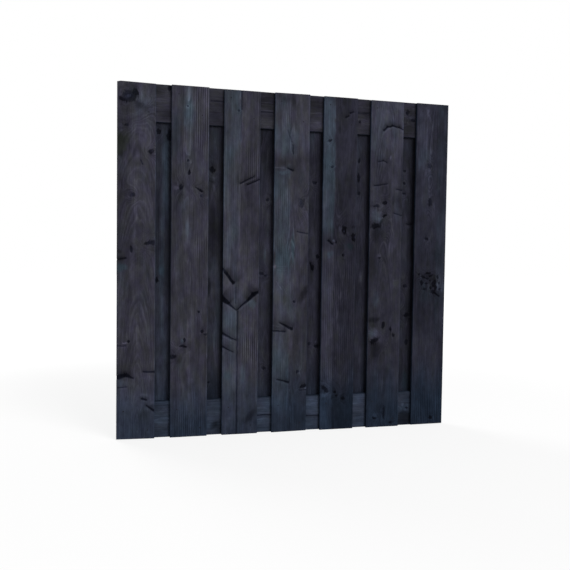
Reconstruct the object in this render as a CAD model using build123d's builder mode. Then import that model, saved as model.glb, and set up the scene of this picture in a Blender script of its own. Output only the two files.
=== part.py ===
# Double-sided board fence panel, in millimetres.
# Wide vertical boards are nailed to both faces of a top rail board and a bottom rail board.
# The back boards stand behind the gaps of the front boards, so the panel can't be seen through.
# Origin: middle of the bottom edge. X runs along the panel, the front looks towards -Y, +Z is up.

import os
from itertools import cycle

from build123d import *

# Panel
panel_width = 1800.0
panel_height = 1800.0
front_count = 7

# Sawn boards
board_width = 190.0
board_thickness = 16.0
rail_width = 190.0
rail_thickness = 16.0
arris_radius = 1.5

# How far short of the panel's top each front board was cut, left to right and over again
front_trims = (0.0, 1.0, 4.0, 0.0, 2.0, 4.0, 2.0)

# Chip off the top left corner of the first front board
chip_width = 18.0
chip_height = 4.5

# Nails with a flat head and a square shank; the head has sixteen sides, few enough to repeat and near round
head_diameter = 6.0
head_sides = 16
head_thickness = 1.0
shank_side = 2.4
point_length = 4.0
point_side = 0.5

# Nail places: from the board's long edge, from the rail's long edge, and the wood left past the point
nail_edge = 35.0
nail_end = 45.0
nail_cover = 3.0

# Layout that follows from the sizes above
board_pitch = (panel_width - board_width) / (front_count - 1)
front_centres = [(i - (front_count - 1) / 2) * board_pitch for i in range(front_count)]
back_centres = [(a + b) / 2 for a, b in zip(front_centres, front_centres[1:])]
rail_face = rail_thickness / 2
board_middle = rail_face + board_thickness / 2
board_face = rail_face + board_thickness
rail_heights = {"top_rail": panel_height - rail_width / 2, "bottom_rail": rail_width / 2}
shank_length = board_thickness + rail_thickness - nail_cover
nail_reach = board_width / 2 - nail_edge
nail_rise = rail_width / 2 - nail_end


def crossing_nails(x, rail_height, face, turn):
    """Two nails on a diagonal where a board crosses a rail: the left one high, the right one low."""
    spots = ((x - nail_reach, rail_height + nail_rise), (x + nail_reach, rail_height - nail_rise))
    return [Location((spot_x, face, spot_z), (0, 0, turn)) for spot_x, spot_z in spots]


def front_nails(x, rail_height):
    """Nails driven from the front, so the point looks towards +Y."""
    return crossing_nails(x, rail_height, -board_face, 0)


def back_nails(x, rail_height):
    """Nails driven from the back, turned about Z so the point looks towards -Y."""
    return crossing_nails(x, rail_height, board_face, 180)


def finish(builder, name):
    """Labels a finished piece and writes it under that name."""
    builder.part.label = name
    export_step(builder.part, f"parts/{name}.step")


os.makedirs("parts", exist_ok=True)

# One nail: the underside of its head lies in the XZ plane and its point looks towards +Y
with BuildPart() as nail:
    with BuildSketch(Plane.XZ):
        RegularPolygon(head_diameter / 2, head_sides)
    extrude(amount=head_thickness)
    with BuildSketch(Plane.XZ):
        Rectangle(shank_side, shank_side)
    extrude(amount=-(shank_length - point_length))
    with BuildSketch(Plane.XZ.offset(-(shank_length - point_length))):
        Rectangle(shank_side, shank_side)
    with BuildSketch(Plane.XZ.offset(-shank_length)):
        Rectangle(point_side, point_side)
    loft()

# Rails: the same kind of board laid on edge, with a seat for every nail of both faces
for name, height in rail_heights.items():
    seats = [spot for x in front_centres for spot in front_nails(x, height)]
    seats += [spot for x in back_centres for spot in back_nails(x, height)]
    with BuildPart() as rail:
        with BuildSketch(Plane.YZ.offset(-panel_width / 2)):
            with Locations((0, height)):
                RectangleRounded(rail_thickness, rail_width, arris_radius)
        extrude(amount=panel_width)
        with Locations(*seats):
            add(nail.part, mode=Mode.SUBTRACT)
    finish(rail, name)

# Front boards, each with its own nails
for number, (x, trim) in enumerate(zip(front_centres, cycle(front_trims)), start=1):
    seats = [spot for height in rail_heights.values() for spot in front_nails(x, height)]
    with BuildPart() as front_board:
        with BuildSketch(Plane.XY):
            with Locations((x, -board_middle)):
                RectangleRounded(board_width, board_thickness, arris_radius)
        extrude(amount=panel_height - trim)
        with Locations(*seats):
            add(nail.part, mode=Mode.SUBTRACT)
        if number == 1:
            with BuildSketch(Plane.XZ.offset(rail_face)):
                with BuildLine():
                    Polyline(
                        (x - board_width / 2, panel_height - trim - chip_height),
                        (x - board_width / 2, panel_height - trim),
                        (x - board_width / 2 + chip_width, panel_height - trim),
                        close=True,
                    )
                make_face()
            extrude(amount=board_thickness, mode=Mode.SUBTRACT)
    finish(front_board, f"front_board_{number}")
    with BuildPart() as nails:
        with Locations(*seats):
            add(nail.part)
    finish(nails, f"front_nails_{number}")

# Back boards over the gaps, each with its own nails
for number, x in enumerate(back_centres, start=1):
    seats = [spot for height in rail_heights.values() for spot in back_nails(x, height)]
    with BuildPart() as back_board:
        with BuildSketch(Plane.XY):
            with Locations((x, board_middle)):
                RectangleRounded(board_width, board_thickness, arris_radius)
        extrude(amount=panel_height)
        with Locations(*seats):
            add(nail.part, mode=Mode.SUBTRACT)
    finish(back_board, f"back_board_{number}")
    with BuildPart() as nails:
        with Locations(*seats):
            add(nail.part)
    finish(nails, f"back_nails_{number}")
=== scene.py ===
import bmesh
import bpy
import numpy as np
from mathutils import Matrix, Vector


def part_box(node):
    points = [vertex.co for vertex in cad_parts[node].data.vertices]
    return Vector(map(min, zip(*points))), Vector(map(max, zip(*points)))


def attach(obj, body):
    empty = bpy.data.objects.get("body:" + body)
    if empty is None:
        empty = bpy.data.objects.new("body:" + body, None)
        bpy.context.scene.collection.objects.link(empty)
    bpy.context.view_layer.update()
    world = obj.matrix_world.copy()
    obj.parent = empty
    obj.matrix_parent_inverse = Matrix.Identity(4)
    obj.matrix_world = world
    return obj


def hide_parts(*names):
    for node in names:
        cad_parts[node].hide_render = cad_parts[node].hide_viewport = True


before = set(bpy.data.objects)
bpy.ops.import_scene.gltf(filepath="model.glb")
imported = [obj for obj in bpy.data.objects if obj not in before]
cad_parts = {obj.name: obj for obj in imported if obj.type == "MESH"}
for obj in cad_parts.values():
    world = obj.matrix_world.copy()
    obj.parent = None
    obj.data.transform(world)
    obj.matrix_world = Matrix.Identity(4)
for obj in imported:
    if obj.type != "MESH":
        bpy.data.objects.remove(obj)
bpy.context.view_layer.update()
mm = 0.001
print("frame loaded,", len(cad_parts), "nodes")


def ease(low, high, x):  # 0 below low, 1 above high, an S curve between them
    f = np.clip((x - low) / (high - low), 0, 1)
    return f * f * (3 - 2 * f)


def bell(x):  # 1 at the middle, falling off as a bell curve
    return np.exp(-x * x)


def mix(first, second, f):  # from first to second as f goes from 0 to 1
    return first * (1 - f) + second * f


def cloud(a, b, seed):  # smooth noise: random heights on whole numbers, eased between them
    period = 64
    heights = np.random.default_rng(seed).uniform(-1, 1, (period, period))
    wholeA = np.floor(a).astype(int)
    wholeB = np.floor(b).astype(int)
    fa = ease(0, 1, a - wholeA)
    fb = ease(0, 1, b - wholeB)
    a0, a1 = wholeA % period, (wholeA + 1) % period
    b0, b1 = wholeB % period, (wholeB + 1) % period
    return mix(mix(heights[a0, b0], heights[a1, b0], fa), mix(heights[a0, b1], heights[a1, b1], fa), fb)


# Shader sums are written as plain Python: a Wire is one output socket, and + - * on it add Math nodes
class Wire:
    def __init__(self, tree, socket):
        self.tree = tree
        self.socket = socket

    @staticmethod
    def node(tree, kind, settings, inputs, output=0):  # any node: its settings first, then its sockets
        made = tree.nodes.new(kind)
        for name, value in settings.items():
            setattr(made, name, value)
        for name, value in inputs.items():
            if isinstance(value, Wire):
                tree.links.new(value.socket, made.inputs[name])
            else:
                made.inputs[name].default_value = value
        return Wire(tree, made.outputs[output]) if len(made.outputs) else made

    def make(self, kind, settings, inputs, output=0):
        return Wire.node(self.tree, kind, settings, inputs, output)

    def sum(self, operation, first, second=0.0):
        return self.make("ShaderNodeMath", {"operation": operation}, {0: first, 1: second})

    def __add__(self, other):
        return self.sum("ADD", self, other)

    def __radd__(self, other):
        return self.sum("ADD", other, self)

    def __sub__(self, other):
        return self.sum("SUBTRACT", self, other)

    def __rsub__(self, other):
        return self.sum("SUBTRACT", other, self)

    def __mul__(self, other):
        return self.sum("MULTIPLY", self, other)

    def __rmul__(self, other):
        return self.sum("MULTIPLY", other, self)

    def __rpow__(self, other):
        return self.sum("POWER", other, self)

    def __abs__(self):
        return self.sum("ABSOLUTE", self)

    def wave(self):  # sine of the value
        return self.sum("SINE", self)

    def part(self):  # what is left past the whole number
        return self.sum("FRACT", self)

    def atLeast(self, other):
        return self.sum("MAXIMUM", self, other)

    def step(self, low, high):  # 0 at low, 1 at high, an S curve between them
        return self.make("ShaderNodeMapRange", {"interpolation_type": "SMOOTHSTEP"},
                         {"Value": self, "From Min": low, "From Max": high})

    def stretched(self, x, y, z):  # a vector scaled along its three axes
        return self.make("ShaderNodeVectorMath", {"operation": "MULTIPLY"}, {0: self, 1: (x, y, z)})

    def times(self, factor):  # a colour made brighter or darker
        return self.make("ShaderNodeVectorMath", {"operation": "SCALE"}, {0: self, "Scale": factor})

    def between(self, first, second):  # first colour where the value is 0, second where it is 1
        return self.make("ShaderNodeMix", {"data_type": "RGBA"}, {0: self, 6: first, 7: second}, 2)

    def noise(self, scale, detail=3.0, rough=0.55):  # noise on this vector, about -1 to 1
        inputs = {"Vector": self, "Scale": scale, "Detail": detail, "Roughness": rough}
        return self.make("ShaderNodeTexNoise", {}, inputs, "Fac") * 2.0 - 1.0

    def into(self, shader, name):  # the value goes to one of a shader's sockets
        self.tree.links.new(self.socket, shader.inputs[name])


def attribute(tree, name, output="Fac"):  # a value that the mesh carries at its points
    return Wire.node(tree, "ShaderNodeAttribute", {"attribute_name": name}, {}, output)


def freshMaterial(name):  # with its node tree and its main shader
    made = bpy.data.materials.new(name)
    made.use_nodes = True
    return made, made.node_tree, made.node_tree.nodes["Principled BSDF"]


# Black stain over sawn softwood; the amounts are in doublings of brightness
stain = {
    "grey": (0.0281, 0.0283, 0.0349, 1.0),
    "plum": (0.0273, 0.0262, 0.0408, 1.0),
    "cool": (0.0240, 0.0360, 0.0480, 1.0),
    # the blue colour next is a tint of the stain in places, and also painted shade on the boards' side
    # walls
    "blueTintAndShade": (0.0222, 0.0345, 0.0600, 1.0),
    "moss": (0.0240, 0.0275, 0.0240, 1.0),
    "knot": (0.0108, 0.0132, 0.0285, 1.0),
    "fibre": 0.55,
    "years": 0.70,
    "streak": 0.65,
    "broad": 0.52,
    "mottle": 0.98,
    "smoke": 0.65,
    "saw": 0.55,
    "inKnot": 0.85,
    "knotRim": 0.45,
    "knotRings": 0.25,
    "fray": 0.55,
    "inCut": 0.80,
    "rubbed": 0.50,
    "roughness": 0.80,
    "gloss": 0.02,
}
# Noises: scale across, into and along the board, detail, roughness; streak and broad run along the years
noises = {
    "fibre": (300.0, 300.0, 8.0, 4.0, 0.65),
    "streak": (0.85, 1.0, 3.0, 3.0, 0.55),
    "broad": (0.20, 1.0, 1.6, 3.0, 0.55),
    "fibreEnds": (900.0, 900.0, 900.0, 2.0, 0.55),
    "streakEnds": (90.0, 90.0, 90.0, 2.0, 0.55),
    "broadEnds": (25.0, 25.0, 25.0, 2.0, 0.55),
    "mottle": (15.0, 15.0, 6.0, 4.0, 0.6),
    "smoke": (45.0, 45.0, 20.0, 3.0, 0.6),
    "tint": (14.0, 14.0, 6.5, 3.0, 0.55),
    "hue": (28.9, 28.9, 13.6, 3.0, 0.55),
    "fray": (120.0, 120.0, 75.0, 2.0, 0.55),
}
# From where to where things show: late wood in a year, knots in radii, splits in millimetres, colours
edges = {
    "lateRise": (0.25, 0.88), "lateFall": (0.90, 1.0), "knot": (0.30, 1.50), "nearKnot": (0.70, 2.80),
    "rimRise": (0.40, 0.85), "rimFall": (0.90, 1.35), "cut": (-3.5, 3.8), "plum": (-0.4, 0.4),
    "cool": (0.0, 1.1), "moss": (0.05, 1.0), "darkKnot": (-0.6, 0.2), "darkCut": (-0.8, 0.0),
}
# How the noises ruffle the years, saw grooves, knots, splits and colours
ruffle = {
    "yearFibre": 0.15, "yearStreak": 0.30, "yearSmoke": 0.20, "saw": 1.4, "knotSmoke": 0.35,
    "knotFray": 0.50, "knotDeep": 0.85, "knotPatchy": 0.60, "ringFibre": 2.0, "cut": 2.6, "cutPatchy": 0.75,
    "coolTint": 0.55, "coolBroad": 0.2, "blueTintAndShade": 0.5, "moss": 0.35, "rubbed": 0.5,
}
sawTurns = 570.0  # radians a metre: 11 mm from groove to groove
knotTurns = 13.0  # radians for each radius of a knot
lateMean = 0.35  # share of late wood that leaves the tone as it is
darkShare = 0.75  # how far dark knots and splits take on their own colour
rougher = {"late": 0.10, "fibre": 0.08, "cut": 0.12}
bumps = {"late": 0.30, "fibre": 0.45, "streak": 0.4, "saw": 0.5, "cut": 1.2, "rim": 0.7, "rings": 0.3,
         "strength": 0.7, "metres": 0.0012}


def stainedWood(name, endGrain):
    # base colour = a mix of the coats, times 2 to the power of all light and dark marks added up
    made, tree, shader = freshMaterial(name)
    grain = attribute(tree, "grain", "Vector")  # metres across, into and along the board
    ring = attribute(tree, "ring")  # years counted out from the heart
    across = Wire.node(tree, "ShaderNodeSeparateXYZ", {}, {0: grain}, 0)
    along = Wire.node(tree, "ShaderNodeSeparateXYZ", {}, {0: grain}, 2)
    track = Wire.node(tree, "ShaderNodeCombineXYZ", {}, {0: ring, 2: along})  # bends round the knots
    knotTone = attribute(tree, "knotTone")
    cutTone = attribute(tree, "cutTone")
    groove = attribute(tree, "groove")

    def noise(kind, base=grain):
        *scale, detail, rough = noises[kind]
        return base.stretched(*scale).noise(1.0, detail, rough)

    if endGrain:
        fibre, streak, broad = noise("fibreEnds"), noise("streakEnds"), noise("broadEnds")
    else:
        fibre, streak, broad = noise("fibre"), noise("streak", track), noise("broad", track)
    mottle, smoke, tint, hue, fray = map(noise, ("mottle", "smoke", "tint", "hue", "fray"))
    phase = (ring + fibre * ruffle["yearFibre"] + streak * ruffle["yearStreak"]
             + smoke * ruffle["yearSmoke"]).part()
    latewood = phase.step(*edges["lateRise"]) * (1.0 - phase.step(*edges["lateFall"]))
    saw = (across * sawTurns + mottle * ruffle["saw"]).wave() * groove

    knotR = attribute(tree, "knotR") + smoke * ruffle["knotSmoke"] + fray * ruffle["knotFray"]
    inKnot = (1.0 - knotR.step(*edges["knot"])) * (ruffle["knotDeep"] + smoke * ruffle["knotPatchy"])
    nearKnot = 1.0 - knotR.step(*edges["nearKnot"])
    knotRim = knotR.step(*edges["rimRise"]) * (1.0 - knotR.step(*edges["rimFall"]))
    knotRings = (knotR * knotTurns + fibre * ruffle["ringFibre"]).wave() * inKnot
    cutSide = abs(attribute(tree, "cut")) - attribute(tree, "cutHalf") + fray * ruffle["cut"]
    inCut = 1.0 - cutSide.step(*edges["cut"])
    clear = 1.0 - inKnot

    light = (attribute(tree, "tone") + fibre * stain["fibre"]
             + smoke * stain["smoke"] + mottle * stain["mottle"]
             + (streak * stain["streak"] + broad * stain["broad"]) * clear
             + (latewood - lateMean) * stain["years"] * clear * attribute(tree, "years")
             + saw * stain["saw"]
             + (inKnot * stain["inKnot"] + knotRim * stain["knotRim"]) * knotTone
             + knotRings * stain["knotRings"] - nearKnot * fray * knotTone * stain["fray"]
             + inCut * cutTone * (stain["inCut"] + fray * ruffle["cutPatchy"])
             + attribute(tree, "edge") * (stain["rubbed"] + streak * ruffle["rubbed"]))
    coolness = attribute(tree, "cool") + tint * ruffle["coolTint"] + broad * ruffle["coolBroad"]
    # the blue coat carries a tint of the stain and, on the side walls, painted shade
    coats = (("cool", coolness.step(*edges["cool"])),
             ("blueTintAndShade", attribute(tree, "blueTintAndShade") * (1.0 + tint * ruffle["blueTintAndShade"])),
             ("moss", (attribute(tree, "moss") - hue * ruffle["moss"]).step(*edges["moss"])),
             ("knot", inKnot * (1.0 - knotTone.step(*edges["darkKnot"])) * darkShare),
             ("knot", inCut * (1.0 - cutTone.step(*edges["darkCut"])) * darkShare))
    colour = (hue + attribute(tree, "plum")).step(*edges["plum"]).between(stain["grey"], stain["plum"])
    for coat, share in coats:
        colour = share.between(colour, stain[coat])
    colour.times(2.0 ** light).into(shader, "Base Color")

    rough = stain["roughness"] - latewood * rougher["late"] + fibre * rougher["fibre"]
    (rough + inCut * rougher["cut"]).into(shader, "Roughness")
    shader.inputs["Specular IOR Level"].default_value = stain["gloss"]
    height = (latewood * bumps["late"] + fibre * bumps["fibre"] + streak * bumps["streak"]
              + saw * bumps["saw"] - inCut * bumps["cut"]
              - knotRim * bumps["rim"] + knotRings * bumps["rings"])
    inputs = {"Height": height, "Strength": bumps["strength"], "Distance": bumps["metres"]}
    height.make("ShaderNodeBump", {}, inputs).into(shader, "Normal")
    return made


woodFace = stainedWood("blackStain", False)
woodEnd = stainedWood("blackStainEndGrain", True)
print("stain mixed")

# Every board's mesh: points across a face, down a side, round an arris, along the grain and into an end
boardGrids = {
    "front": {"face": 60, "side": 5, "arc": 3, "rows": 300, "cap": 4},
    "back": {"face": 40, "side": 5, "arc": 3, "rows": 150, "cap": 4},
    "rail": {"face": 44, "side": 5, "arc": 3, "rows": 200, "cap": 4},
}
# Arrises: radius and length of the waves in millimetres, shares of the radius, where the wear begins
arris = {"radius": 1.5, "waveLong": 45, "uneven": 0.35, "worn": 1.6, "wornFrom": (0.55, 1.0)}
seeds = {"front": 100, "back": 400, "rail": 700, "step": 20, "smallKnots": 40}

# Marks on each board, left to right, in millimetres from its middle line and from its foot or left end
# tone is in doublings of brightness, below 0 dark, above 0 pale; cool, blueTintAndShade, plum, moss: shares
# of a colour
# heart: across and depth of the tree's middle, wander: how far it strays, taper: how fast it sinks away
# rings: how strongly the years show, ringGap: millimetres a year, foot: rise and share of the blue coat
# ends: bottom left, bottom right, top left, top right cut short, chip: width and height off the top left
# knots: across, up, half width, half height, tone, turn in degrees; zeros at a mark's end are left out
# cuts: across, up, across, up, half width at both ends, tone
# shades: across, up, half width, half height, tone, cool, moss, turn
# bands: across from, to, up from, to, tone, cool; grooves: across from, to, up from, to, strength
frontMarks = [{
    "tone": 0.2, "cool": 0.05, "heart": (10, 96), "wander": (8, 6), "taper": 0.105, "ringGap": 6.5,
    "ends": (4, 0, 0, 3), "chip": (18, 4.5), "rings": 0.42, "foot": (215, 0.58),
    "knots": [
        (-38, 1730, 40, 28, -0.95, 22), (73, 1461, 13, 9, -1.6, 15), (-19, 1239, 14, 11, -0.9),
        (67, 1000, 22, 10, -1.2, 5), (-24, 964, 6, 16, -1.4, 10), (-48, 1584, 10, 6, -0.8),
        (-36, 501, 7, 5, -1.8), (-62, 1712, 22, 10, -1.9, -24), (-10, 1746, 18, 13, -1.9, -38)],
    "cuts": [
        (20, 1412, 30, 1392, 2, 2, -0.7), (-95, 914, -50, 922, 3, 2, -0.9),
        (-62, 491, -46, 494, 2.5, 1.5, 2), (-92, 478, -50, 478, 2, 1.5, -0.6),
        (-95, 318, -50, 330, 10, 9, -1.2), (-50, 330, -12, 313, 9, 2, -1.2),
        (-88, 267, -46, 270, 2, 1.5, -0.8), (38, 345, 92, 342, 3, 4.5, -0.9),
        (32, 207, 54, 199, 5, 3, -1.3), (54, 170, 97, 141, 2.5, 6.5, -1.4),
        (-5, 525, -5, 180, 1.2, 1.2, 0.35)],
    "shades": [
        (20, 1684, 34, 18, -1, 0, 0, -32), (-80, 1495, 40, 62, -0.75, 0, 0.8),
        (-74, 1440, 22, 20, -0.6, 0, 0.1), (2, 1440, 9, 32, 0.5), (25, 1745, 10, 55, 0.4),
        (-30, 1650, 14, 24, 0.35), (1, 1128, 8, 16, 0.6), (-5, 1012, 30, 22, 0.2, -0.3, 0.2),
        (-84, 955, 12, 12, -0.9), (-68, 878, 32, 22, 0.3, 0.7), (-70, 740, 38, 90, 0.05, 0.2),
        (-13, 730, 6, 50, 0.45), (6, 545, 7, 75, 0.55, -0.1), (-55, 400, 36, 60, -0.15, -0.4, 0.3),
        (-55, 282, 42, 20, 0.45, 0.25), (60, 312, 30, 14, 0.3), (42, 226, 24, 9, 0.5, 0.2),
        (80, 182, 16, 8, 0.5), (45, 120, 30, 22, -0.25, -0.3), (-4, 1175, 9, 105, 0.3, -0.1),
        (-10, 1060, 8, 30, 0.25), (-35, 1690, 46, 60, -0.5), (40, 1690, 66, 130, 0.3, 0.2),
        (-60, 335, 32, 15, -0.7), (-68, 918, 28, 11, -0.7, 0, 0, 8), (0, 310, 40, 60, 0.28),
        (60, 190, 40, 50, 0.15), (60, 960, 40, 80, -0.2), (60, 1430, 30, 50, -0.2), (-32, 195, 62, 75, 0.5),
        (62, 1080, 30, 60, -0.2), (-40, 1727, 15, 9, 1.3, 0, 0.2, 22)],
    "bands": [
        (-110, -30, 860, 1640, -0.42), (-30, 30, 880, 1200, -0.15), (-110, -30, 420, 720, 0.2),
        (-110, -30, 720, 1040, -0.22), (-110, -20, 1600, 1830, -0.15)],
}, {
    "tone": 0.1, "cool": 0.1, "heart": (-16, 48), "wander": (7, 7), "taper": -0.02, "rings": 0.6,
    "foot": (170, 0.85),
    "knots": [
        (47, 1275, 18, 7, -2, -22), (63, 1247, 13, 11, -0.3), (-14, 1698, 5, 5, -0.9),
        (-10, 1424, 6, 7, -0.9), (-5, 1362, 6, 13, -2.1), (49, 648, 6, 6, -1.4), (66, 547, 8, 7, -1.6),
        (84, 531, 7, 5, -0.9), (-29, 472, 16, 7, -1.9, -10), (-23, 503, 5, 11, -1.5),
        (-84, 419, 17, 10, -1.5, 15), (-47, 1284, 11, 15, -1.6, 10)],
    "cuts": [
        (-20, 1382, -19, 1350, 1, 1, 0.5), (8, 1385, 8, 1348, 1, 1, 0.5)],
    "shades": [
        (-10, 1715, 5, 90, 0.5, 0.05), (-5, 1640, 26, 150, 0.4, 0.3), (-70, 1500, 28, 160, -0.3, 0.1),
        (40, 1243, 40, 24, 0.15, -0.2, 0.2), (-13, 1095, 8, 60, 0.6, 0.1), (-12, 1070, 22, 46, 0.2, 0.1),
        (-16, 900, 12, 60, 0.25, -0.2, 0.1), (-36, 500, 10, 18, 0.45, 0.5),
        (-55, 408, 24, 24, -0.4, -0.2, 0.3), (-6, 400, 13, 75, 0.5, -0.8, 0.15),
        (-8, 565, 6, 70, 0.5, -0.4, 0.05), (40, 450, 40, 70, -0.15, -0.3, 0.1),
        (-70, 1283, 13, 12, 0.9, -0.2), (0, 50, 120, 90, -0.4, 0.1), (-75, 1560, 24, 120, 0.1, 0.3),
        (0, 330, 26, 60, 0.25), (-60, 1270, 30, 60, -0.25)],
    "grooves": [
        (25, 95, 1490, 1830, 1), (28, 95, 940, 1040, 0.7), (-80, 80, 0, 150, 0.5)],
    "bands": [
        (30, 100, 1380, 1830, 0.2), (-30, 30, 720, 1200, 0.1), (-105, -30, 700, 1830, -0.15)],
}, {
    "tone": -0.12, "cool": 0, "heart": (-12, 5), "wander": (5, 3), "taper": 0.004, "foot": (215, 0.55),
    "knots": [
        (-22, 1693, 7, 6, -0.45)],
    "cuts": [
        (-5, 1815, -5, 1700, 2.2, 1.8, -1.1), (-6, 1700, -8, 1540, 1.5, 1, -0.4),
        (-8, 1317, 65, 1357, 2.4, 2.4, -1.5), (29, 1312, 98, 1343, 2.4, 2.6, -1.5),
        (8, 1316, 78, 1349, 1.5, 1.5, 0.8), (-96, 873, -80, 852, 3, 6, -0.9),
        (-84, 856, -42, 799, 6, 8, -2.2), (-103, 722, -64, 690, 14, 8, -2.2),
        (-64, 690, -25, 656, 7, 1.5, -1.2), (-17, 660, 41, 711, 2, 6, -1.6),
        (41, 711, 66, 738, 6, 11, -2.2), (66, 738, 97, 754, 11, 5, -2),
        (-28, 775, -27, 690, 1.2, 1.2, -0.5), (-17, 650, -17, -10, 2.4, 2.4, -0.75),
        (-100, 537, -23, 497, 5.5, 1.5, -1.4), (-96, 521, -30, 486, 2, 1, 0.4),
        (-100, 468, -39, 436, 5.5, 1.5, -1.3), (84, 1815, 85, 1350, 1.5, 1.5, 0.7),
        (83, 1170, 83, 940, 1.2, 1.2, 0.5)],
    "shades": [
        (53, 1240, 28, 60, -0.4, -0.1), (40, 1790, 20, 10, -0.4), (50, 552, 28, 30, 0.25, -0.8, 0.3),
        (-70, 316, 18, 26, -0.05, 0.4), (8, 317, 20, 60, 0.2, 0.3), (53, 92, 46, 16, -1.1, 0, 0, 47),
        (-61, 86, 14, 6, 0.4, -0.8, 0.1, -20), (-55, 615, 40, 50, 0.2, 0.3), (60, 690, 28, 24, 0.25, 0.5),
        (20, 800, 30, 40, 0.1, -0.2), (-10, 60, 120, 100, 0.35), (45, 1640, 50, 120, 0.2),
        (-60, 1430, 30, 70, -0.2, 0.1), (-60, 190, 34, 50, 0.25, 0.15), (60, 800, 34, 60, 0.2),
        (-70, 800, 24, 40, 0.2), (-64, 300, 30, 40, -0.2)],
    "bands": [
        (-105, -6, 1450, 1830, 0.36, 0.5), (-105, -8, 900, 1450, 0.52, 0.34),
        (-105, -18, 240, 900, 0.62, 0.2), (-16, 100, 130, 880, 0.36, 0.12), (-16, 32, 500, 1180, 0.2),
        (-105, -30, 60, 300, 0.3, 0.1), (-16, 32, -40, 1840, 0.16), (-105, -18, 100, 560, 0, 0.15)],
    "grooves": [
        (25, 95, 1340, 1500, 0.65), (2, 95, 385, 515, 0.9)],
}, {
    "tone": 0.02, "cool": 0.1, "heart": (4, 26), "wander": (6, 10), "taper": 0.02, "ends": (0, 2, 2, 0),
    "rings": 0.6, "foot": (225, 0.75),
    "knots": [
        (50, 1228, 16, 24, -0.4), (22, 700, 8, 7, -1.2), (76, 243, 19, 9, -1.8, 20),
        (44, 322, 10, 8, -0.7)],
    "cuts": [
        (-12, 1545, -4, 1488, 1.5, 1.2, 0.7), (2, 1530, 6, 1482, 1.8, 1.4, -0.9),
        (13, 1525, 14, 1478, 1.2, 1, 0.5), (-26, 1606, -3, 1545, 1.2, 1.2, -0.4),
        (-93, 1408, -26, 1407, 3, 2, 1), (-26, 1407, 5, 1396, 3, 3.5, -1.6),
        (33, 1072, 90, 1064, 1.8, 1.5, -1), (-77, 808, -49, 765, 1.6, 1.4, 0.9),
        (-62, 802, -72, 758, 1.3, 1.2, 0.6), (-42, 782, -20, 740, 1.3, 1.2, 0.6),
        (-72, 889, -20, 887, 1.5, 1.5, 0.4), (-72, 869, -20, 868, 1.5, 1.5, 0.4),
        (-56, 586, 8, 554, 2, 7.5, -1.8), (-92, 573, -60, 566, 2, 1.5, 0.7),
        (-92, 556, -50, 549, 1.6, 1.5, 0.6), (-90, 544, -27, 540, 3.5, 2.5, -1.1),
        (-69, 285, -6, 267, 1.5, 5, -1.3), (55, 222, 94, 224, 1.5, 1.5, -0.5)],
    "shades": [
        (-30, 1770, 26, 20, -0.6), (5, 1755, 10, 28, -0.5), (-72, 1786, 20, 8, -0.4),
        (-12, 1620, 9, 55, -0.35), (-10, 1445, 90, 24, -0.5, -0.3, 0.05, 4), (-45, 1436, 26, 14, -0.3),
        (-52, 1382, 34, 10, 0.4, 0.2), (12, 1335, 26, 26, -0.15, -0.5, 0.3),
        (83, 1010, 4, 26, 0.5, -1.6, 0.15), (74, 890, 13, 80, -0.5, -0.2, 0.2, -12),
        (72, 739, 16, 48, -1.1, -0.2, 0, -25), (10, 1000, 10, 90, 0.2, 0.6), (-88, 889, 7, 10, 0.9, -0.6),
        (-93, 937, 6, 30, -0.6, -1.4), (-50, 715, 45, 45, 0.1, -0.1, 0.3), (92, 231, 10, 6, 1.1, 0, 0, 20),
        (-10, 640, 60, 30, 0.25), (0, 50, 120, 90, -0.35, 0.1), (45, 1100, 60, 260, 0.15),
        (45, 1600, 60, 180, 0.15), (50, 1180, 50, 200, 0.12), (-40, 790, 72, 170, 0.5, 0.3),
        (62, 80, 60, 100, -0.3), (0, 1210, 60, 120, -0.2), (0, 960, 40, 70, 0.22, 0.2),
        (-66, 160, 34, 60, 0.2), (-66, 1740, 34, 50, -0.2, 0.1)],
    "bands": [
        (-110, -8, 860, 1420, 0.18, 0.42), (-110, -10, 1460, 1830, 0.1, 0.12),
        (-110, -7, 100, 560, 0.3, 0.38), (0, 100, 200, 700, -0.1, 0.05), (28, 100, 1480, 1830, 0.3),
        (-110, 32, 1460, 1640, 0.22, 0.28), (32, 100, 130, 880, -0.12)],
    "grooves": [
        (-80, -10, 900, 1300, 0.35)],
}, {
    "tone": -1.12, "cool": 0, "heart": (14, 70), "wander": (8, 6), "taper": -0.04, "rings": 0.5,
    "foot": (235, 0.95), "blueTintAndShade": 0.07, "plum": 0.2,
    "knots": [
        (-61, 1564, 12, 7, -1.4, 20), (-43, 1426, 9, 5, -0.7, 30), (27, 1088, 12, 21, -2.4, 8),
        (83, 1050, 12, 19, -2, 14), (-18, 1022, 5, 8, -1.3), (24, 953, 8, 7, -1.4), (-12, 206, 8, 7, -1.6),
        (-2, 186, 7, 6, -1.3), (35, 169, 10, 9, -1.5), (-66, 222, 22, 9, -1.5, -38)],
    "cuts": [
        (28, 1693, 44, 1701, 3, 2, -1.3), (52, 1716, 70, 1724, 3, 2, -1.1),
        (-62, 1029, -38, 1011, 4, 4, -1.5)],
    "shades": [
        (-8, 1622, 10, 22, -0.5), (-14, 1722, 10, 16, 0.2, -1.2, 0.1), (35, 1770, 35, 30, -0.1, -0.2, 0.25),
        (28, 1081, 5, 6, 2.4), (4, 1092, 9, 14, 0.8, 0, 0, 10), (92, 1050, 6, 9, 2),
        (-29, 1029, 8, 8, 1.4, 0.2), (22, 1000, 14, 36, -0.4, 0, 0.1), (-50, 956, 22, 20, 0.3, 0.5),
        (66, 1000, 18, 20, -0.3, 0.5), (15, 739, 7, 28, 1.1), (-12, 389, 4, 10, 0.9),
        (-72, 190, 22, 14, 0.85, 0.1), (40, 1300, 40, 150, -0.2), (55, 1740, 66, 100, 0.35),
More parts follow.
